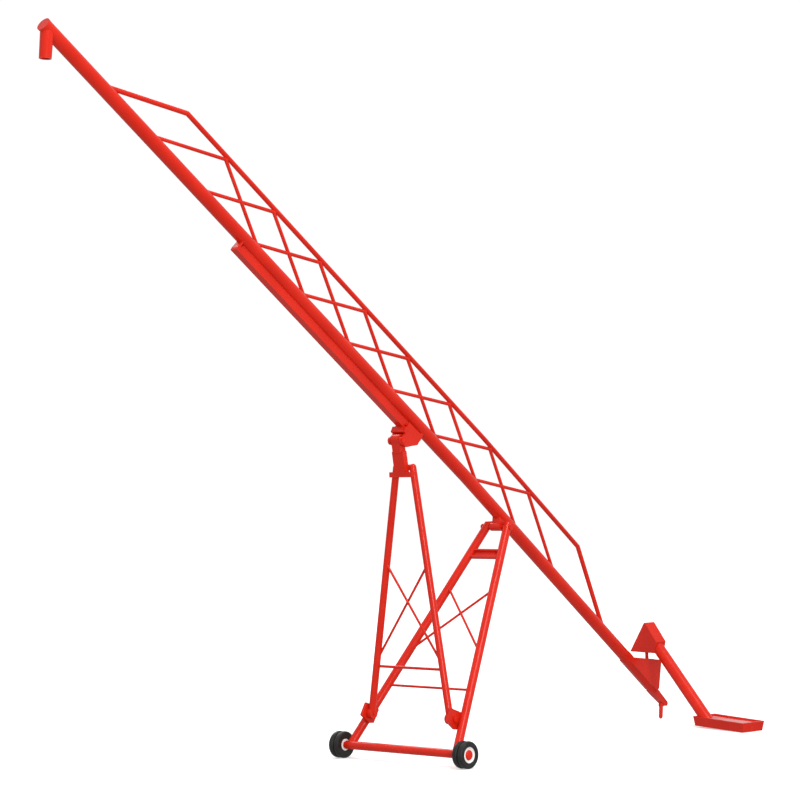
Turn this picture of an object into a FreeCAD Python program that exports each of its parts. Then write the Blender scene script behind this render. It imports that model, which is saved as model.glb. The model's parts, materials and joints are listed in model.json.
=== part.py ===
"""Portable swing-away grain auger, a 1:64 display model, in millimetres.

+X runs along the auger towards its intake end, +Y to its left-hand wheel, +Z up.
The model stands on its two wheels and on the tray of its swing hopper, at Z = 0.
Everything is drawn about the middle of the wheel axle and moved to the row's
origin, the centre of the model's footprint, when it is written out.
"""
import FreeCAD, Part
import math
import os

V = FreeCAD.Vector

# ---- driving dimensions ----------------------------------------------------
WHEEL_R = 5.67            # tyre outside radius, so the axle's height
TUBE_ANGLE = 37.36        # slope of the auger tube down to its knee
LOWER_ANGLE = 38.69       # slope below the knee, where the tube sags a little
KNEE = 287.0              # distance of the knee from the top end
SPOUT_LEAN = 6.4          # the spout would hang plumb with the tube that much flatter
BOOT_RISE = 30.6          # angle of the boot's top edge against the tube

TUBE_R = 2.75             # auger tube
TOP_X, TOP_Z = -182.39, 285.90   # top end of the tube's axis, from the axle
TUBE_END = 428.0          # where the tube stops inside the boot, along its axis
CAP_T = 0.9               # disc that closes the top end

BAY = 32.2                # spacing of the truss nodes along the tube
NODE_0 = 34.6             # distance of node 0 from the top end
BAYS = 8                  # braces of each kind
CHORD_H = 20.6            # truss chord above the tube's axis
BRACE_H = 19.3            # where the braces' axes meet under the chord
CHORD_R = 1.02
BRACE_R = 0.75
CHORD_START, CHORD_END = 73.2, 366.7
STRUT_FOOT_TOP, STRUT_FOOT_LOW = 38.6, 400.3

TRACK_START, TRACK_END = 124.0, 251.0
TRACK_DROP = 6.95         # underside of the track's flange below the tube's axis
FLANGE_T = 1.1
FLANGE_HALF = 1.75
WEB_HALF = 0.8

PIVOT = V(65.1, 0, 89.6)         # tube pivot
SHOE_PIN = V(2.2, 0, 128.7)      # pin of the track shoe
SHOE_S = 244.9                   # middle of the shoe along the tube
BASE = V(5.74, 22.12, 13.4)      # left foot pivot of the lift frame

WHEEL_Y = 34.85           # middle of each wheel
WHEEL_W = 5.2
ARM_R = 1.82              # lower frame tubes
ARM_FOOT_Y = 29.85
LEG_R = 1.52              # lift frame tubes
RUN_GAP = 0.05            # radial play of each pin in its bore

POST_X = 169.8            # swing axis of the hopper
SWING_YAW = -11.0         # how far the hopper stands round from square to the tube
ORIGIN_X, ORIGIN_Y = 0.52, 15.34   # axle middle, seen from the row's origin

SIDES = {"left": 1, "right": -1}
TO_ROW = V(ORIGIN_X, ORIGIN_Y, WHEEL_R)


def slope_axes(degrees):
    """Directions down along a slope and square above it."""
    angle = math.radians(degrees)
    return V(math.cos(angle), 0, -math.sin(angle)), V(math.sin(angle), 0, math.cos(angle))


ALONG, ABOVE = slope_axes(TUBE_ANGLE)
LOW_ALONG, LOW_ABOVE = slope_axes(LOWER_ANGLE)
TOP = V(TOP_X, 0, TOP_Z)


# ---- helpers ---------------------------------------------------------------
def on_tube(s, h, y=0.0):
    """The point s down the tube from its top end, h above its axis and y aside."""
    if s <= KNEE:
        return TOP + ALONG * s + ABOVE * h + V(0, y, 0)
    return TOP + ALONG * KNEE + LOW_ALONG * (s - KNEE) + LOW_ABOVE * h + V(0, y, 0)


def rod(start, end, radius):
    return Part.makeCylinder(radius, (end - start).Length, start, end - start)


def cross_rod(centre, radius, y_from, y_to):
    """A round bar across the model, through centre, from y_from to y_to."""
    return rod(V(centre.x, y_from, centre.z), V(centre.x, y_to, centre.z), radius)


def prism(points, direction):
    face = Part.Face(Part.makePolygon(points + [points[0]]))
    return face.extrude(direction)


def side_plate(outline, y_from, y_to):
    """A plate parallel to the model's side view, from (s, h) points on the tube."""
    return prism([on_tube(s, h, y_from) for s, h in outline], V(0, y_to - y_from, 0))


def upright_plate(outline, y_from, y_to):
    """A plate parallel to the side view, from (x, z) points."""
    return prism([V(x, y_from, z) for x, z in outline], V(0, y_to - y_from, 0))


def mirrored(shape):
    return shape.mirror(V(0, 0, 0), V(0, 1, 0))


def big_solids(shape, least=1.0):
    """The compound of a shape's solids without the slivers that a cut leaves."""
    return Part.makeCompound([s for s in shape.Solids if s.Volume > least])


def sided(shape, side):
    """shape is drawn for the left side; the right one is its mirror image."""
    return shape if side > 0 else mirrored(shape)


def save(name, shape):
    solids = shape.Solids
    whole = solids[0] if len(solids) == 1 else Part.makeCompound(solids)
    whole = whole.copy()
    whole.translate(TO_ROW)
    whole.exportStep("parts/" + name + ".step")




# ---- auger: tube, truss, track, spout and boot --------------------------------
def chord_node(i):
    return on_tube(NODE_0 + BAY * (i + 1), BRACE_H)


def tube_node(i):
    return on_tube(NODE_0 + BAY * i, TUBE_R)


def strut(foot, head, radius):
    """A truss member that runs on a little past both of its nodes."""
    past = (head - foot).normalize() * radius
    return rod(foot - past, head + past, radius)


def bent_rod(start, end, h, radius):
    """A round bar at height h over the tube's axis, with its bend at the knee."""
    bend = on_tube(KNEE, h)
    upper, lower = rod(on_tube(start, h), bend, radius), rod(bend, on_tube(end, h), radius)
    return upper.fuse(lower).fuse(Part.makeSphere(radius, bend)).removeSplitter()


def make_tube():
    return bent_rod(CAP_T, TUBE_END, 0, TUBE_R)


def make_end_cap():
    return rod(on_tube(0, 0), on_tube(CAP_T, 0), TUBE_R + 0.08)


def make_spout(tube):
    """Discharge spout: a short tapered pipe under the tube's top end, open below."""
    lean = math.radians(SPOUT_LEAN)
    up = V(math.sin(lean), 0, math.cos(lean))
    mouth = V(TOP.x + 0.5, 0, TOP.z - 12.7)
    outer = Part.makeCone(2.38, 2.52, 10.3, mouth, up)
    bore = Part.makeCone(1.75, 1.89, 7.8, mouth - up * 0.5, up)
    return outer.cut(bore).cut(tube).cut(make_end_cap())


def make_chord():
    bar = bent_rod(CHORD_START, CHORD_END, CHORD_H, CHORD_R)
    for s in (CHORD_START, CHORD_END):
        bar = bar.fuse(Part.makeSphere(CHORD_R, on_tube(s, CHORD_H)))
    return bar.removeSplitter()


def make_end_struts(tube, chord):
    feet = [(STRUT_FOOT_TOP, CHORD_START), (STRUT_FOOT_LOW, CHORD_END)]
    struts = [strut(on_tube(f, TUBE_R), on_tube(c, CHORD_H), CHORD_R) for f, c in feet]
    return [max(s.cut(tube).cut(chord).Solids, key=lambda part: part.Volume) for s in struts]


def make_braces(tube, chord):
    """Rising braces lean up towards the intake, falling ones back down to the tube."""
    rising = [strut(tube_node(i), chord_node(i), BRACE_R) for i in range(1, BAYS + 1)]
    rising = Part.makeCompound(rising).cut(tube).cut(chord)
    falling = [strut(tube_node(i + 2), chord_node(i), BRACE_R) for i in range(1, BAYS + 1)]
    falling = Part.makeCompound(falling).cut(tube).cut(chord).cut(rising)
    return big_solids(rising), big_solids(falling)


def make_track(tube):
    """T-shaped rail under the tube that the lift frame's shoe slides on."""
    top_of_flange = -TRACK_DROP + FLANGE_T
    web = side_plate([(TRACK_START + 6, -1.5), (TRACK_END, -1.5), (TRACK_END, top_of_flange),
                      (TRACK_START, top_of_flange), (TRACK_START + 2, -1.5)], -WEB_HALF, WEB_HALF)
    flange = side_plate([(TRACK_START, top_of_flange), (TRACK_END, top_of_flange),
                         (TRACK_END, -TRACK_DROP), (TRACK_START, -TRACK_DROP)],
                        -FLANGE_HALF, FLANGE_HALF)
    return web.fuse(flange).removeSplitter().cut(tube)


def make_track_stops(tube, track):
    """Blocks that close both ends of the track."""
    upper = side_plate([(TRACK_START - 0.5, -1.5), (TRACK_START, -1.5),
                        (TRACK_START, -TRACK_DROP), (TRACK_START - 1.4, -TRACK_DROP),
                        (TRACK_START - 1.4, -TRACK_DROP + 1.2)], -FLANGE_HALF, FLANGE_HALF)
    lower = side_plate([(TRACK_END, -1.5), (TRACK_END + 1.6, -1.5),
                        (TRACK_END + 1.6, -TRACK_DROP + 1.5), (TRACK_END, -TRACK_DROP)],
                       -FLANGE_HALF, FLANGE_HALF)
    return upper.cut(tube).cut(track), lower.cut(tube).cut(track)


SADDLE_HALF = 2.95        # half length of the barrel that turns on the pivot pin
PIVOT_PIN_R = 0.8


def make_saddle(tube):
    barrel = cross_rod(PIVOT, 1.8, -SADDLE_HALF, SADDLE_HALF)
    rise, back = LOW_ABOVE * 3.4, LOW_ALONG * -1.6
    corners = [PIVOT + back * 0.8, PIVOT - back * 0.8, PIVOT - back * 2 + rise, PIVOT + back * 2 + rise]
    web = prism([V(c.x, -2.0, c.z) for c in corners], V(0, 4.0, 0))
    bore = cross_rod(PIVOT, PIVOT_PIN_R + RUN_GAP, -SADDLE_HALF - 1, SADDLE_HALF + 1)
    return barrel.fuse(web).removeSplitter().cut(tube).cut(bore)


BOOT_HALF = 3.2           # half width of the intake boot
BOOT_WALL = 0.75
BOOT_SLOPE = math.tan(math.radians(BOOT_RISE))
BOOT_LIP_S, BOOT_LIP_H = 445.3, 11.95   # top corner of the boot over its end wall


def boot_top(s):
    return BOOT_LIP_H - (BOOT_LIP_S - s) * BOOT_SLOPE


def make_boot(tube):
    """Open-topped funnel around the tube's lower end, running out to the hitch nose."""
    funnel = side_plate([(426.0, boot_top(426.0)), (BOOT_LIP_S, BOOT_LIP_H), (451.6, 0.2),
                         (450.3, -1.6), (426.0, -1.6)], -BOOT_HALF, BOOT_HALF)
    trough = rod(on_tube(424.5, 0), on_tube(451.5, 0), TUBE_R + 0.15)
    nose = side_plate([(449.0, 1.6), (451.6, 0.8), (462.2, 0.0), (462.2, -2.4),
                       (453.0, -2.9), (449.0, -2.9)], -1.45, 1.45)
    tip = cross_rod(on_tube(462.3, -1.2), 1.2, -1.45, 1.45)
    body = funnel.fuse(trough).fuse(nose).fuse(tip).removeSplitter()
    inside = BOOT_HALF - BOOT_WALL
    cavity = side_plate([(TUBE_END, -0.9), (450.2, -0.9), (450.5, 0.6),
                         (BOOT_LIP_S - 0.8, BOOT_LIP_H - 1.2), (BOOT_LIP_S - 0.8, 16.0),
                         (TUBE_END, 9.5)], -inside, inside)
    channel = rod(on_tube(TUBE_END, 0), on_tube(450.2, 0), 2.25)
    return body.cut(cavity).cut(channel).cut(tube)


HITCH_R, HITCH_PIN_L = 0.93, 4.6


def make_hitch_rod(boot):
    """Drop leg of the hitch under the nose, with a rounded foot."""
    top, foot = V(179.9, 0, 3.0), V(179.1, 0, -4.7)
    up = (top - foot).normalize()
    leg = rod(foot, foot + up * HITCH_PIN_L, HITCH_R).fuse(Part.makeSphere(HITCH_R, foot))
    collar = rod(foot + up * HITCH_PIN_L, top, HITCH_R + 0.3)
    whole = leg.fuse(collar).removeSplitter().cut(boot)
    return max(whole.Solids, key=lambda s: s.Volume)


# ---- swing hopper: post, hood, tube and tray ----------------------------------
POST_TOP = 29.4
HOOD_BOTTOM = 26.3
HOOD_HALF = 2.95
HOOD_WALL = 0.7
POST_R = 0.78
SHOULDER_R = 0.6
SWING_R = 2.75
TRAY_FLOOR = -5.67        # the ground, seen from the axle
TRAY_L, TRAY_W, TRAY_H, TRAY_FLARE = 30.7, 12.0, 4.3, 0.68
TRAY_WALL = 0.8
TRAY_DEPTH = 0.6          # the tray is a shallow dish on a thick base
TRAY_TIP = 1.7            # degrees its near end is raised, so that it stands on its far edge
TRAY_NEAR = -36.5         # near end of the tray's floor, along the swing tube
TRAY_ASIDE = 1.3          # the tray's middle line, beside the swing tube's


def turned(shape):
    """Turn a piece drawn square to the tube round the swing axis to where it stands."""
    out = shape.copy()
    out.rotate(V(POST_X, 0, 0), V(0, 0, 1), SWING_YAW)
    return out


def swing_point(y, z, x=0.0):
    return V(POST_X + x, y, z)


SWING_HIGH = swing_point(-7.2, 29.6)
SWING_LOW = swing_point(-48.5, -11.2)


def make_post(boot):
    """Round post on a strap across the boot's mouth, with a smaller spigot on top."""
    z_strap = 21.9
    strap = Part.makeBox(2.6, 2 * BOOT_HALF, 1.2, V(POST_X - 1.3, -BOOT_HALF, z_strap))
    shaft = rod(V(POST_X, 0, z_strap), V(POST_X, 0, HOOD_BOTTOM - 0.03), POST_R)
    spigot = rod(V(POST_X, 0, HOOD_BOTTOM - 0.1), V(POST_X, 0, POST_TOP), SHOULDER_R)
    return strap.fuse(shaft).fuse(spigot).removeSplitter().cut(boot)


def make_swing_tube():
    whole = rod(SWING_HIGH, SWING_LOW, SWING_R)
    lowest = TRAY_FLOOR + TRAY_H - TRAY_DEPTH - 0.3
    keep = Part.makeBox(20, 60, 60, V(POST_X - 10, -62, lowest))
    return turned(whole.common(keep))


def make_hood(swing_tube):
    """Wedge-shaped head over the boot: two side plates under a folded roof."""
    outer = [(8.2, HOOD_BOTTOM), (-1.9, 40.1), (-2.5, 40.1), (-10.0, 31.5), (-9.6, 30.0),
             (-8.3, HOOD_BOTTOM)]
    inner = [(7.3, HOOD_BOTTOM - 1), (7.3, HOOD_BOTTOM), (-2.2, 39.1), (-9.1, 31.1),
             (-7.6, HOOD_BOTTOM), (-7.6, HOOD_BOTTOM - 1)]
    half_in = HOOD_HALF - HOOD_WALL

    def slab(points, half):
        return prism([swing_point(y, z, -half) for y, z in points], V(2 * half, 0, 0))

    shell = slab(outer, HOOD_HALF).cut(slab(inner, half_in))
    bridge = Part.makeBox(2 * HOOD_HALF, 3.4, 2.9,
                          V(POST_X - HOOD_HALF, -1.7, HOOD_BOTTOM))
    bore = rod(V(POST_X, 0, HOOD_BOTTOM - 1), V(POST_X, 0, POST_TOP + 0.4), SHOULDER_R + RUN_GAP)
    hood = shell.fuse(bridge).removeSplitter().cut(bore)
    return turned(hood).cut(swing_tube)


def tray_block(inset, z_from, z_to):
    """The tray's flared inside or outside between two heights, inset from its outside."""
    rings = []
    for z in (z_from, z_to):
        grow = TRAY_FLARE * (z - TRAY_FLOOR) / TRAY_H - inset
        y_far, y_near = TRAY_NEAR - TRAY_L - grow, TRAY_NEAR + grow
        x_low, x_high = TRAY_ASIDE - TRAY_W / 2 - grow, TRAY_ASIDE + TRAY_W / 2 + grow
        corners = [(x_low, y_far), (x_high, y_far), (x_high, y_near), (x_low, y_near)]
        rings.append(Part.makePolygon([swing_point(y, z, x) for x, y in corners + corners[:1]]))
    return Part.makeLoft(rings, True, True)


def make_tray(swing_tube):
    rim = TRAY_FLOOR + TRAY_H
    shell = tray_block(0.0, TRAY_FLOOR, rim)
    hollow = tray_block(TRAY_WALL, rim - TRAY_DEPTH, rim + 1.0)
    tray = shell.cut(hollow)
    tray.rotate(swing_point(TRAY_NEAR - TRAY_L, TRAY_FLOOR), V(1, 0, 0), TRAY_TIP)
    return turned(tray).cut(swing_tube)


# ---- undercarriage: axle, lower frame and brackets ------------------------------
def arm_point(z, side=1):
    """A point on a lower frame arm's axis at height z over the axle."""
    run = z / 90.0
    return V(0.13 + 65.24 * run, side * (ARM_FOOT_Y - 24.14 * run), z)


ARM_TOP = 91.9
AXLE_TUBE_HALF = 31.9
AXLE_PIN_R = 0.8
PIN_PAST = 1.6            # how far the axle pin reaches past the wheels' middle planes


def make_axle_pin():
    return cross_rod(V(0, 0, 0), AXLE_PIN_R, -WHEEL_Y - PIN_PAST, WHEEL_Y + PIN_PAST)


def make_axle_bar():
    return cross_rod(V(0, 0, 0), 1.79, -AXLE_TUBE_HALF, AXLE_TUBE_HALF)


def make_pivot_pin():
    shank = cross_rod(PIVOT, PIVOT_PIN_R, -8.3, 8.3)
    heads = [cross_rod(PIVOT, 1.35, y, y + 0.7) for y in (-8.3, 7.6)]
    return shank.fuse(heads[0]).fuse(heads[1]).removeSplitter()


def make_arm(side, axle, pivot_shank):
    whole = rod(arm_point(0, side), arm_point(ARM_TOP + 6, side), ARM_R)
    over = Part.makeBox(30, 60, 20, V(arm_point(ARM_TOP).x - 15, -30, ARM_TOP))
    return whole.cut(over).cut(axle).cut(pivot_shank)


def frame_normal(point_at, z):
    """Direction square to a frame's plane, for laying crossed rods side by side."""
    run = point_at(z + 10) - point_at(z)
    run.y = 0
    across = run.cross(V(0, 1, 0))
    return across.normalize()


def crossed_rods(point_at, z_high, z_low, radius, members):
    """Two diagonal rods between the members of a frame, one in front of the other."""
    out = []
    for side in (1, -1):
        shift = frame_normal(point_at, z_low) * radius * side
        bar = rod(point_at(z_high, side) + shift, point_at(z_low, -side) + shift, radius)
        for member in members:
            bar = bar.cut(member)
        out.append(max(bar.Solids, key=lambda s: s.Volume))
    return Part.makeCompound(out)


def tie(point_at, z, radius, members):
    bar = rod(point_at(z, 1), point_at(z, -1), radius)
    for member in members:
        bar = bar.cut(member)
    return max(bar.Solids, key=lambda s: s.Volume)


def make_crossbar(arms):
    """Channel-shaped bar between the arms, just under the tube pivot."""
    middle = arm_point(78.3)
    up = (arm_point(90) - arm_point(70))
    up.y = 0
    up.normalize()
    out = up.cross(V(0, 1, 0)).normalize()
    profile = [(-2.0, -1.1), (2.0, -1.1), (2.0, 0.9), (1.3, 0.9), (1.3, -0.3),
               (-1.3, -0.3), (-1.3, 0.9), (-2.0, 0.9)]
    base = V(middle.x, -middle.y, middle.z)
    points = [base + up * a + out * b for a, b in profile]
    bar = prism(points, V(0, 2 * middle.y, 0))
    for arm in arms:
        bar = bar.cut(arm)
    return max(bar.Solids, key=lambda s: s.Volume)


FOOT_PIN_R = 0.7
PLATE_IN, PLATE_OUT = 23.35, 24.7   # faces of the bracket plates, from the middle
FOOT_FACE = 23.2                    # outer face of each leg's foot


def make_bracket(side, arm, pin):
    """Plate on the inside of an arm that carries a foot of the lift frame."""
    outline = [(4.2, 18.0), (1.1, 13.0), (5.7, 9.1), (8.1, 8.9), (11.5, 14.1), (10.9, 15.4)]
    plate = upright_plate(outline, PLATE_IN, PLATE_OUT)
    lug = upright_plate([(7.6, 10.9), (8.9, 10.9), (10.9, 13.7), (10.0, 14.9), (9.0, 14.9)],
                        PLATE_OUT - 0.2, PLATE_OUT + 1.2)
    return sided(plate.fuse(lug).removeSplitter(), side).cut(arm).cut(pin)


def make_foot_pin(side):
    shank = cross_rod(BASE, FOOT_PIN_R, FOOT_FACE - 2.75, PLATE_OUT)
    head = cross_rod(BASE, 1.25, PLATE_OUT, PLATE_OUT + 0.7)
    return sided(shank.fuse(head).removeSplitter(), side)


# ---- lift frame: legs, ties, head ---------------------------------------------
def leg_point(z, side=1):
    run = (z - 13.4) / 101.9
    return V(BASE.x + 0.89 * run, side * (BASE.y - 17.15 * run), z)


HOOK_Z = 118.6
HEAD_BAR = V(4.9, 0, 114.4)       # middle of the bar, on the legs' uphill side
HEAD_BAR_HALF = 6.3
EYE_OFFSET = V(0.55, 0, 0.45)     # eye's centre from the shoe pin as it stands
EYE_R = 2.25
EYE_BORE = 1.59
SHOE_PIN_R = 0.75
LINK_HALF = 3.1
NECK_HALF = 2.2
SHOULDER = 9.9                    # height of the link's wide part over the bar


def make_head():
    """Bar across the legs and the upright link with the eye for the shoe's pin."""
    bar = Part.makeBox(2.2, 2 * HEAD_BAR_HALF, 2.2, HEAD_BAR + V(-1.1, -HEAD_BAR_HALF, -1.1))
    eye_at = SHOE_PIN + EYE_OFFSET
    lean = (eye_at - HEAD_BAR).normalize()
    out = lean.cross(V(0, 1, 0)).normalize()
    reach = (eye_at - HEAD_BAR).Length

    def slab(low, high, thick, half):
        corners = [(low, thick), (low, -thick), (high, -thick), (high, thick)]
        points = [HEAD_BAR + lean * a + out * b + V(0, -half, 0) for a, b in corners]
        return prism(points, V(0, 2 * half, 0))

    link = slab(0, SHOULDER, 1.2, LINK_HALF)
    neck = slab(SHOULDER - 0.5, reach, 1.7, NECK_HALF)
    eye = cross_rod(eye_at, EYE_R, -NECK_HALF, NECK_HALF)
    bore = cross_rod(eye_at, EYE_BORE, -NECK_HALF - 1, NECK_HALF + 1)
    return bar.fuse(link).fuse(neck).fuse(eye).removeSplitter().cut(bore)


def make_leg(side, head):
    """Round leg with a flat, bored foot and a top that hooks in to the head."""
    foot, knee = leg_point(BASE.z, side), leg_point(HOOK_Z - 1.2, side)
    body = rod(foot, knee, LEG_R).fuse(Part.makeSphere(LEG_R, knee))
    hook = rod(knee, V(knee.x, side * 1.5, HOOK_Z - 1.2), 1.3)
    pad = cross_rod(BASE, 2.3, FOOT_FACE - 2.3, FOOT_FACE)
    body = body.fuse(hook).fuse(sided(pad, side)).removeSplitter()
    beyond = Part.makeBox(20, 20, 20, V(-4, FOOT_FACE, 0))
    below = sided(Part.makeBox(20, 8, 20, V(-4, 18, BASE.z - 22.3)), side)
    bore = cross_rod(BASE, FOOT_PIN_R + RUN_GAP, -BASE.y * 1.5, BASE.y * 1.5)
    leg = body.cut(head).cut(bore).cut(sided(beyond, side)).cut(below)
    return max(leg.Solids, key=lambda s: s.Volume)


# ---- track shoe ---------------------------------------------------------------
SHOE_IN, SHOE_OUT = 2.5, 3.6


def make_shoe():
    """Carriage that hooks over the track's flange, with lugs for its pin."""
    s, gap = SHOE_S, 0.12
    flange_top = -TRACK_DROP + FLANGE_T
    cheek = [(s - 4.0, -4.4), (s - 3.6, -8.4), (s - 3.3, -8.8), (s - 3.9, -12.6),
             (s - 1.0, -14.2), (s + 1.0, -13.6), (s + 2.3, -12.2), (s + 5.6, -9.2), (s + 5.9, -5.0),
             (s + 4.9, -4.2)]
    lip = [(s - 4.0, -5.1), (s - 4.0, flange_top + gap), (s + 5.7, flange_top + gap),
           (s + 5.8, -5.1)]
    stretcher = [(s - 4.9, -TRACK_DROP - gap), (s - 2.9, -TRACK_DROP - gap),
                 (s - 3.4, -9.6), (s - 4.6, -9.6)]
    half = side_plate(cheek, SHOE_IN, SHOE_OUT)
    half = half.fuse(cross_rod(SHOE_PIN, 1.75, SHOE_IN, SHOE_OUT))
    half = half.fuse(side_plate(lip, WEB_HALF + gap, SHOE_OUT - 0.2))
    half = half.fuse(side_plate(stretcher, 0, SHOE_OUT + 0.3))
    return half.fuse(mirrored(half)).removeSplitter()


def make_shoe_pin():
    shank = cross_rod(SHOE_PIN, SHOE_PIN_R, -SHOE_OUT - 0.5, SHOE_OUT + 0.5)
    head = cross_rod(SHOE_PIN, 1.15, -SHOE_OUT - 0.5, -SHOE_OUT)
    return shank.fuse(head).removeSplitter()


# ---- wheels -------------------------------------------------------------------
RIM_R = 3.3               # rim on the wheel's outer face
INNER_RIM_R = 2.5         # rim on its inner face, where the tyre reaches further in
RIM_STEP = 0.9            # where the rim changes from one to the other
HUB_R = 2.05


def revolved(profile, y_mid):
    """Turn (radius, y) points about the axle's line, y measured from y_mid."""
    points = [V(r, y_mid + y, 0) for r, y in profile]
    face = Part.Face(Part.makePolygon(points + points[:1]))
    return face.revolve(V(0, 0, 0), V(0, 1, 0), 360)


def make_wheel(side):
    """Tyre with one tread groove, dished rim, and hub over the axle's end."""
    half, r = WHEEL_W / 2, WHEEL_R
    groove, depth = 0.35, 0.5
    tyre = [(INNER_RIM_R, -half + 0.35), (INNER_RIM_R + 0.5, -half), (r - 0.8, -half),
            (r - 0.2, -half + 0.4), (r, -half + 0.9), (r, -groove), (r - depth, -groove + 0.1),
            (r - depth, groove - 0.1), (r, groove), (r, half - 0.9), (r - 0.2, half - 0.4),
            (r - 0.8, half), (RIM_R + 0.3, half), (RIM_R, half - 0.3), (RIM_R, RIM_STEP),
            (INNER_RIM_R, RIM_STEP)]
    rim = [(HUB_R, -half + 0.45), (INNER_RIM_R, -half + 0.35), (INNER_RIM_R, RIM_STEP),
           (RIM_R, RIM_STEP), (RIM_R, half - 0.3), (RIM_R - 0.3, half - 0.15),
           (RIM_R - 0.55, half - 0.5), (HUB_R, half - 0.5)]
    hub = [(0, PIN_PAST + 0.1), (0, half + 0.15), (HUB_R - 0.5, half + 0.15), (HUB_R, half - 0.2),
           (HUB_R, -half + 0.3), (AXLE_PIN_R + RUN_GAP, -half + 0.3),
           (AXLE_PIN_R + RUN_GAP, PIN_PAST + 0.1)]
    made = {}
    for piece, profile in (("tyre", tyre), ("rim", rim), ("hub", hub)):
        made[piece] = sided(revolved(profile, WHEEL_Y), side)
    return made


def main():
    os.makedirs("parts", exist_ok=True)

    tube, chord = make_tube(), make_chord()
    rising, falling = make_braces(tube, chord)
    struts = make_end_struts(tube, chord)
    track = make_track(tube)
    stops = make_track_stops(tube, track)
    boot = make_boot(tube)
    save("main_tube", tube)
    save("discharge_end_cap", make_end_cap())
    save("discharge_spout", make_spout(tube))
    save("truss_chord", chord)
    save("truss_end_strut_upper", struts[0])
    save("truss_end_strut_lower", struts[1])
    save("truss_rising_braces", rising)
    save("truss_falling_braces", falling)
    save("lift_track", track)
    save("track_stop_upper", stops[0])
    save("track_stop_lower", stops[1])
    save("pivot_saddle", make_saddle(tube))
    save("intake_boot", boot)
    save("hitch_drop_leg", make_hitch_rod(boot))
    save("swing_post", make_post(boot))

    swing_tube = make_swing_tube()
    save("swing_tube", swing_tube)
    save("swing_hood", make_hood(swing_tube))
    save("hopper_tray", make_tray(swing_tube))

    axle_pin = make_axle_pin()
    axle_bar = make_axle_bar()
    pivot_shank = cross_rod(PIVOT, PIVOT_PIN_R, -9, 9)
    arms = {name: make_arm(side, axle_bar, pivot_shank) for name, side in SIDES.items()}
    both = list(arms.values())
    pivot_pin = make_pivot_pin()
    for arm in both:
        pivot_pin = pivot_pin.cut(arm)
    save("axle_pin", axle_pin)
    save("axle_tube", axle_bar.cut(axle_pin))
    save("tube_pivot_pin", max(pivot_pin.Solids, key=lambda s: s.Volume))
    save("lower_crossbar", make_crossbar(both))
    save("lower_tie_rod", tie(arm_point, 24.2, 0.54, both))
    save("lower_cross_rods", crossed_rods(arm_point, 64.2, 39.2, 0.53, both))

    head = make_head()
    legs = {}
    for name, side in SIDES.items():
        foot_pin = make_foot_pin(side)
        legs[name] = make_leg(side, head)
        save("lower_arm_" + name, arms[name])
        save("lift_bracket_" + name, make_bracket(side, arms[name], foot_pin))
        save("lift_foot_pin_" + name, foot_pin)
        save("lift_leg_" + name, legs[name])
        for piece, shape in make_wheel(side).items():
            save("wheel_%s_%s" % (name, piece), shape)
    both_legs = list(legs.values())
    save("lift_head", head)
    save("lift_tie_rod", tie(leg_point, 33.5, 0.6, both_legs))
    save("lift_cross_rods", crossed_rods(leg_point, 77.2, 36.9, 0.53, both_legs))

    shoe, shoe_pin = make_shoe(), make_shoe_pin()
    save("track_shoe", shoe.cut(shoe_pin))
    save("shoe_pin", shoe_pin)


main()
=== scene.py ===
"""Looks of a 1:64 swing-away grain auger: satin red plastic, black tyres, white rims.

Places are in millimetres about the middle of the wheel axle, and outlines are in
millimetres too; both are turned into the frame's metres where they are used. Shader
distances, light sizes and the stage are in metres.
"""
import bpy
import bmesh
import json
import math
from mathutils import Matrix, Vector


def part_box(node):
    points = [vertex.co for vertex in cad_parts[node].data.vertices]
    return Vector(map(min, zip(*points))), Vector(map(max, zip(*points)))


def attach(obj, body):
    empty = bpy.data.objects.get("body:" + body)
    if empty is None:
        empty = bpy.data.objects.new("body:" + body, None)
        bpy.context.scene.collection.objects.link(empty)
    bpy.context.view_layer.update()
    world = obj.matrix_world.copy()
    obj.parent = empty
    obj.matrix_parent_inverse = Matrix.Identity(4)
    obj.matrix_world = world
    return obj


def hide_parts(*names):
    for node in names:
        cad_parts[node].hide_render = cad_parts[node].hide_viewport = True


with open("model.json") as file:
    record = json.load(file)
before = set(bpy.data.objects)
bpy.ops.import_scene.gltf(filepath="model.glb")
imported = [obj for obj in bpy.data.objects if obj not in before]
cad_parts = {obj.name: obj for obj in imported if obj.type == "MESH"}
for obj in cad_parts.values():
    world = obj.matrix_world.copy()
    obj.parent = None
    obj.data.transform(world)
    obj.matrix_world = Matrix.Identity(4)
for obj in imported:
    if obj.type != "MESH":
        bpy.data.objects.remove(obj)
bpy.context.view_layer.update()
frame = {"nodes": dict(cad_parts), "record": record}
nodes = frame["nodes"]

MM = 0.001


def middle(node):
    low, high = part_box(node)
    return (Vector(low) + Vector(high)) / 2


AXLE = middle("axle_tube")


# ---- camera -------------------------------------------------------------------
VIEW_FROM = Vector((-797.2, -734.3, 136.0))    # from the axle
VIEW_HEADING, VIEW_PITCH, VIEW_ROLL = 42.47, 0.51, -1.68   # degrees
LENS = 116.87                                 # focal length on the default 36 mm sensor


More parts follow.
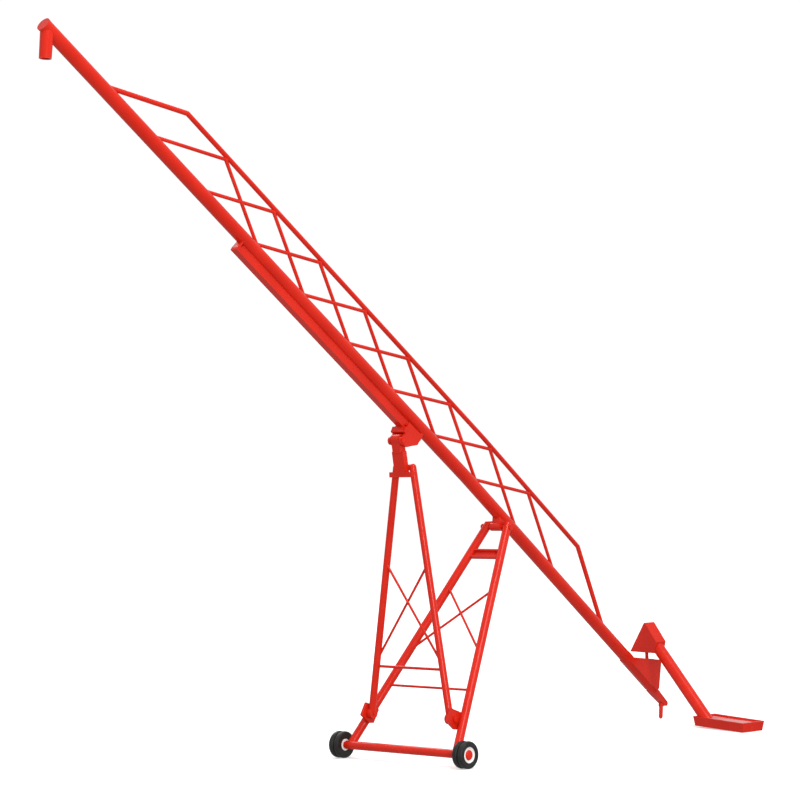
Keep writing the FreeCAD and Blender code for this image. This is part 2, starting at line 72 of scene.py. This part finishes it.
def make_camera():
    heading, pitch, roll = (math.radians(a) for a in (VIEW_HEADING, VIEW_PITCH, VIEW_ROLL))
    ahead = Vector((math.cos(heading) * math.cos(pitch), math.sin(heading) * math.cos(pitch),
                    math.sin(pitch)))
    right = ahead.cross(Vector((0, 0, 1))).normalized()
    up = right.cross(ahead)
    rolled_right = right * math.cos(roll) + up * math.sin(roll)
    rolled_up = up * math.cos(roll) - right * math.sin(roll)
    data = bpy.data.cameras.new("camera")
    data.lens = LENS
    data.clip_start, data.clip_end = 0.01, 100
    camera = bpy.data.objects.new("camera", data)
    bpy.context.collection.objects.link(camera)
    turn = Matrix((rolled_right, rolled_up, -ahead)).transposed().to_4x4()
    camera.matrix_world = Matrix.Translation(AXLE + VIEW_FROM * MM) @ turn
    bpy.context.scene.camera = camera


make_camera()


# ---- materials ------------------------------------------------------------------
def new_material(name):
    material = bpy.data.materials.new(name)
    material.use_nodes = True
    tree = material.node_tree
    return material, tree, tree.nodes["Principled BSDF"]


def noise(tree, scale, detail=2.0):
    """Noise fixed to the object; scale is its number of cells in a metre."""
    coords = tree.nodes.new("ShaderNodeTexCoord")
    texture = tree.nodes.new("ShaderNodeTexNoise")
    texture.inputs["Scale"].default_value = scale
    texture.inputs["Detail"].default_value = detail
    tree.links.new(coords.outputs["Object"], texture.inputs["Vector"])
    return texture.outputs["Fac"]


def ramp(tree, value, low, high, low_at=0.35, high_at=0.65):
    """Blend from one colour to another as the value goes from low_at to high_at."""
    node = tree.nodes.new("ShaderNodeValToRGB")
    for element, colour, at in zip(node.color_ramp.elements, (low, high), (low_at, high_at)):
        element.color = (*colour, 1)
        element.position = at
    tree.links.new(value, node.inputs["Fac"])
    return node.outputs["Color"]


def grey(value):
    return (value, value, value)


def bump(tree, bsdf, value, strength, distance):
    node = tree.nodes.new("ShaderNodeBump")
    node.inputs["Strength"].default_value = strength
    node.inputs["Distance"].default_value = distance
    tree.links.new(value, node.inputs["Height"])
    tree.links.new(node.outputs["Normal"], bsdf.inputs["Normal"])


def red_plastic(name, rough_low, rough_high, gloss):
    """Injection-moulded plastic: even colour, soft gloss, a very fine orange-peel skin."""
    material, tree, bsdf = new_material(name)
    colour = ramp(tree, noise(tree, 60), (0.61, 0.016, 0.005), (0.67, 0.020, 0.007))
    tree.links.new(colour, bsdf.inputs["Base Color"])
    rough = ramp(tree, noise(tree, 240, 3), grey(rough_low), grey(rough_high))
    tree.links.new(rough, bsdf.inputs["Roughness"])
    bsdf.inputs["IOR"].default_value = 1.46
    bsdf.inputs["Specular IOR Level"].default_value = gloss
    bump(tree, bsdf, noise(tree, 1500, 2), 0.06, 0.00004)
    return material


def tyre_rubber():
    """Matt black rubber with a fine grain."""
    material, tree, bsdf = new_material("tyre_rubber")
    colour = ramp(tree, noise(tree, 300, 4), (0.011, 0.011, 0.0105), (0.019, 0.0185, 0.018))
    tree.links.new(colour, bsdf.inputs["Base Color"])
    rough = ramp(tree, noise(tree, 500, 3), grey(0.42), grey(0.6))
    tree.links.new(rough, bsdf.inputs["Roughness"])
    bsdf.inputs["Specular IOR Level"].default_value = 0.3
    bump(tree, bsdf, noise(tree, 2500, 3), 0.15, 0.00005)
    return material


def white_plastic():
    """The rims' warm white plastic."""
    material, tree, bsdf = new_material("white_plastic")
    colour = ramp(tree, noise(tree, 150), (0.84, 0.81, 0.78), (0.90, 0.88, 0.86))
    tree.links.new(colour, bsdf.inputs["Base Color"])
    rough = ramp(tree, noise(tree, 400, 3), grey(0.32), grey(0.42))
    tree.links.new(rough, bsdf.inputs["Roughness"])
    return material


RED = red_plastic("red_plastic", 0.20, 0.30, 0.24)
RED_GLOSS = red_plastic("red_gloss", 0.08, 0.13, 1.0)
TYRE = tyre_rubber()
WHITE = white_plastic()
BY_SLOT = {"red_plastic": RED, "black_tyre": TYRE, "white_rim": WHITE, "steel_pin": RED}

# The moulding's soft edges, in mm: the larger parts have rounder ones.
BEVEL_WIDTHS = {
    "hopper_tray": 0.35, "swing_hood": 0.3, "intake_boot": 0.28, "lift_head": 0.25,
    "discharge_spout": 0.22, "track_shoe": 0.2, "lift_bracket_left": 0.25,
    "lift_bracket_right": 0.25, "discharge_end_cap": 0.3, "lift_track": 0.16,
    "lower_crossbar": 0.3,
}
SMALL_PART_BEVEL = 0.12
SHARPER_THAN = 32                 # degrees; only edges that turn more are softened


def dress_nodes():
    """Give every part its material and the soft edges of a moulding."""
    for part in frame["record"]["subparts"]:
        node = nodes[part["node"]]
        node.data.materials.clear()
        node.data.materials.append(BY_SLOT[part["material_slot"]])
        soften(node, BEVEL_WIDTHS.get(part["node"], SMALL_PART_BEVEL))


def soften(thing, width):
    bevel = thing.modifiers.new("soft_edges", "BEVEL")
    bevel.width = width * MM
    bevel.segments = 3
    bevel.limit_method = "ANGLE"
    bevel.angle_limit = math.radians(SHARPER_THAN)
    bevel.use_clamp_overlap = True
    bevel.harden_normals = False


dress_nodes()


# ---- wheels ------------------------------------------------------------------------
def rounded(corners, radius, steps=5):
    """The closed outline with its corners turned into small curves, except those on the axis."""
    points = []
    for i, corner in enumerate(corners):
        here = Vector(corner)
        before, after = Vector(corners[i - 1]), Vector(corners[(i + 1) % len(corners)])
        reach = min(radius, 0.45 * (before - here).length, 0.45 * (after - here).length)
        if here.x == 0:
            points.append(here)
            continue
        start = here + (before - here).normalized() * reach
        end = here + (after - here).normalized() * reach
        for k in range(steps + 1):
            t = k / steps
            points.append(start * (1 - t) ** 2 + here * (2 * t * (1 - t)) + end * t ** 2)
    return points


def lathe(name, outline, centre, side, material, around=120):
    """A solid turned about the axle from its outline: radius, and distance outwards."""
    shape = bmesh.new()
    rings = []
    for k in range(around):
        angle = 2 * math.pi * k / around
        rings.append([shape.verts.new(centre + Vector((r * math.cos(angle), outwards * side,
                                                       r * math.sin(angle))) * MM)
                      for r, outwards in outline])
    for k, ring in enumerate(rings):
        following = rings[(k + 1) % around]
        for i in range(len(outline)):
            j = (i + 1) % len(outline)
            shape.faces.new((ring[i], ring[j], following[j], following[i]))
    bmesh.ops.remove_doubles(shape, verts=shape.verts, dist=1e-7)
    bmesh.ops.dissolve_degenerate(shape, edges=shape.edges, dist=1e-8)
    bmesh.ops.recalc_face_normals(shape, faces=shape.faces)
    mesh = bpy.data.meshes.new(name)
    shape.to_mesh(mesh)
    shape.free()
    for face in mesh.polygons:
        face.use_smooth = True
    mesh.set_sharp_from_angle(angle=math.radians(40))
    mesh.materials.append(material)
    thing = bpy.data.objects.new(name, mesh)
    bpy.context.collection.objects.link(thing)
    return thing


WHEEL_R, HALF = 5.67, 2.6         # tyre's outer radius and half its width
GROOVE_HALF, GROOVE_DEPTH = 0.32, 0.8
GROOVE_TAPER = 0.05               # how much narrower the groove's floor is, on each side
RIB_DROP = 0.42                   # how far a rib's shoulders lie below its crown
RIB_STEPS = 12


def tyre_outline():
    """The tyre's section: two crowned ribs with a groove between them, seated on the rim."""
    floor = WHEEL_R - GROOVE_DEPTH
    rib_middle = (HALF + GROOVE_HALF) / 2
    rib_half = (HALF - GROOVE_HALF) / 2
    crown = []
    for middle_y in (-rib_middle, rib_middle):
        for k in range(RIB_STEPS + 1):
            t = -1 + 2 * k / RIB_STEPS
            crown.append((WHEEL_R - RIB_DROP * abs(t) ** 3, middle_y + t * rib_half))
        if middle_y < 0:
            crown.append((floor, -GROOVE_HALF + GROOVE_TAPER))
            crown.append((floor, GROOVE_HALF - GROOVE_TAPER))
    inner = [(2.5, 0.9), (2.5, -HALF + 0.4), (3.1, -HALF + 0.05), (4.75, -HALF)]
    outer = [(4.75, HALF), (3.55, HALF), (3.3, HALF - 0.3), (3.3, 0.9)]
    return [Vector(p) for p in inner + crown + outer]


def make_wheel(side, name):
    """Turned tyre, rim and hub that stand for the CAD ones; side is 1 left and -1 right."""
    centre = middle(name + "_tyre")
    tyre = lathe(name + "_tyre_fine", tyre_outline(), centre, side, TYRE)
    rim = lathe(name + "_rim_fine", rounded([
        (1.35, -HALF + 0.45), (2.5, -HALF + 0.35), (2.5, 0.9), (3.3, 0.9), (3.3, HALF - 0.25),
        (3.05, HALF - 0.12), (2.8, HALF - 0.5), (2.5, HALF - 0.62), (2.1, HALF - 0.55), (2.1, 0.6),
        (1.35, 0.4)], 0.15),
        centre, side, WHITE)
    hub = lathe(name + "_hub_fine", rounded([
        (0, 1.72), (0, HALF + 0.14), (1.2, HALF + 0.12), (1.75, HALF - 0.02), (2.05, HALF - 0.45),
        (2.05, 0.7), (1.3, 0.5), (1.3, -HALF + 0.3), (0.86, -HALF + 0.3), (0.86, 1.72)], 0.2),
        centre, side, RED)
    for piece, part in ((tyre, "_tyre"), (rim, "_rim"), (hub, "_hub")):
        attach(piece, name)
        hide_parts(name + part)


make_wheel(1, "wheel_left")
make_wheel(-1, "wheel_right")


# ---- swing hopper --------------------------------------------------------------------
FLOOR_LIFT = Vector((0, 0, 0.03))   # mm


def make_tray_floor():
    """The tray's polished floor: its large flat faces that look up, a hair above the solid."""
    tray = nodes["hopper_tray"]
    least_rise = 0.999            # z of the normal, so the tray may be tipped a little
    least_share = 0.3             # of the largest face, which leaves the rim out
    upward = []
    for face in tray.data.polygons:
        corners = [tray.matrix_world @ tray.data.vertices[i].co for i in face.vertices]
        rise = (tray.matrix_world.to_3x3() @ face.normal).normalized().z
        if rise > least_rise:
            upward.append((face.area, corners))
    largest = max(area for area, corners in upward)
    shape = bmesh.new()
    for area, corners in upward:
        if area > least_share * largest:
            shape.faces.new([shape.verts.new(c + FLOOR_LIFT * MM) for c in corners])
    bmesh.ops.remove_doubles(shape, verts=shape.verts, dist=1e-7)
    mesh = bpy.data.meshes.new("tray_floor_fine")
    shape.to_mesh(mesh)
    shape.free()
    mesh.materials.append(RED_GLOSS)
    skin = bpy.data.objects.new("tray_floor_fine", mesh)
    bpy.context.collection.objects.link(skin)
    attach(skin, "swing_hopper")


make_tray_floor()


# ---- floor and light --------------------------------------------------------------
FLOOR_SIZE, FLOOR_GLOW = 30, 0.42
DOME_RADIUS, DOME_GLOW = 14, 1.02


def make_floor():
    """A pale floor that takes shadows but sends no light back to the model."""
    bpy.ops.mesh.primitive_plane_add(size=FLOOR_SIZE)
    floor = bpy.context.object
    floor.name = "floor"
    material, tree, bsdf = new_material("pale_floor")
    tree.links.new(ramp(tree, noise(tree, 3), grey(0.78), grey(0.80)), bsdf.inputs["Base Color"])
    bsdf.inputs["Emission Color"].default_value = (1, 1, 1, 1)
    bsdf.inputs["Emission Strength"].default_value = FLOOR_GLOW
    bsdf.inputs["Roughness"].default_value = 0.9
    bsdf.inputs["Specular IOR Level"].default_value = 0.0
    floor.data.materials.append(material)
    floor.visible_diffuse = False
    floor.visible_glossy = False


LIGHT_AIM = Vector((0, 0, 120))   # mm above the axle


def make_light(name, place, size, power):
    """A round soft light, placed in mm from the axle; size in metres, power in watts."""
    data = bpy.data.lights.new(name, "AREA")
    data.shape = "DISK"
    data.size = size
    data.energy = power
    light = bpy.data.objects.new(name, data)
    bpy.context.collection.objects.link(light)
    light.location = AXLE + Vector(place) * MM
    aim = AXLE + LIGHT_AIM * MM - light.location
    light.rotation_euler = aim.to_track_quat("-Z", "Y").to_euler()


def make_world(below, above):
    """A pale studio that is brighter overhead than underneath."""
    world = bpy.data.worlds.new("studio")
    world.use_nodes = True
    tree = world.node_tree
    coords = tree.nodes.new("ShaderNodeTexCoord")
    split = tree.nodes.new("ShaderNodeSeparateXYZ")
    tree.links.new(coords.outputs["Generated"], split.inputs["Vector"])
    shift = tree.nodes.new("ShaderNodeMath")
    shift.operation = "MULTIPLY_ADD"
    shift.inputs[1].default_value = 0.5
    shift.inputs[2].default_value = 0.5
    tree.links.new(split.outputs["Z"], shift.inputs[0])
    colour = ramp(tree, shift.outputs["Value"], grey(below), grey(above), 0.3, 0.7)
    tree.links.new(colour, tree.nodes["Background"].inputs["Color"])
    bpy.context.scene.world = world


def make_dome():
    """A bright dome that only the camera sees, so the world can be dimmer than it."""
    bpy.ops.mesh.primitive_uv_sphere_add(radius=DOME_RADIUS, segments=64, ring_count=32,
                                         location=AXLE)
    dome = bpy.context.object
    dome.name = "dome"
    material, tree, bsdf = new_material("bright_dome")
    tree.links.new(ramp(tree, noise(tree, 2), grey(0.0), grey(0.01)), bsdf.inputs["Base Color"])
    bsdf.inputs["Emission Color"].default_value = (1, 1, 1, 1)
    bsdf.inputs["Emission Strength"].default_value = DOME_GLOW
    dome.data.materials.append(material)
    dome.visible_diffuse = False
    dome.visible_glossy = False
    dome.visible_shadow = False


make_floor()
make_dome()
make_world(0.50, 0.80)
make_light("key", (-105, -774, 1400), 0.6, 9)
make_light("fill", (-450, -700, 200), 0.25, 2.9)
make_light("back", (500, 900, 900), 0.8, 5)
bpy.context.scene.view_settings.view_transform = "Standard"
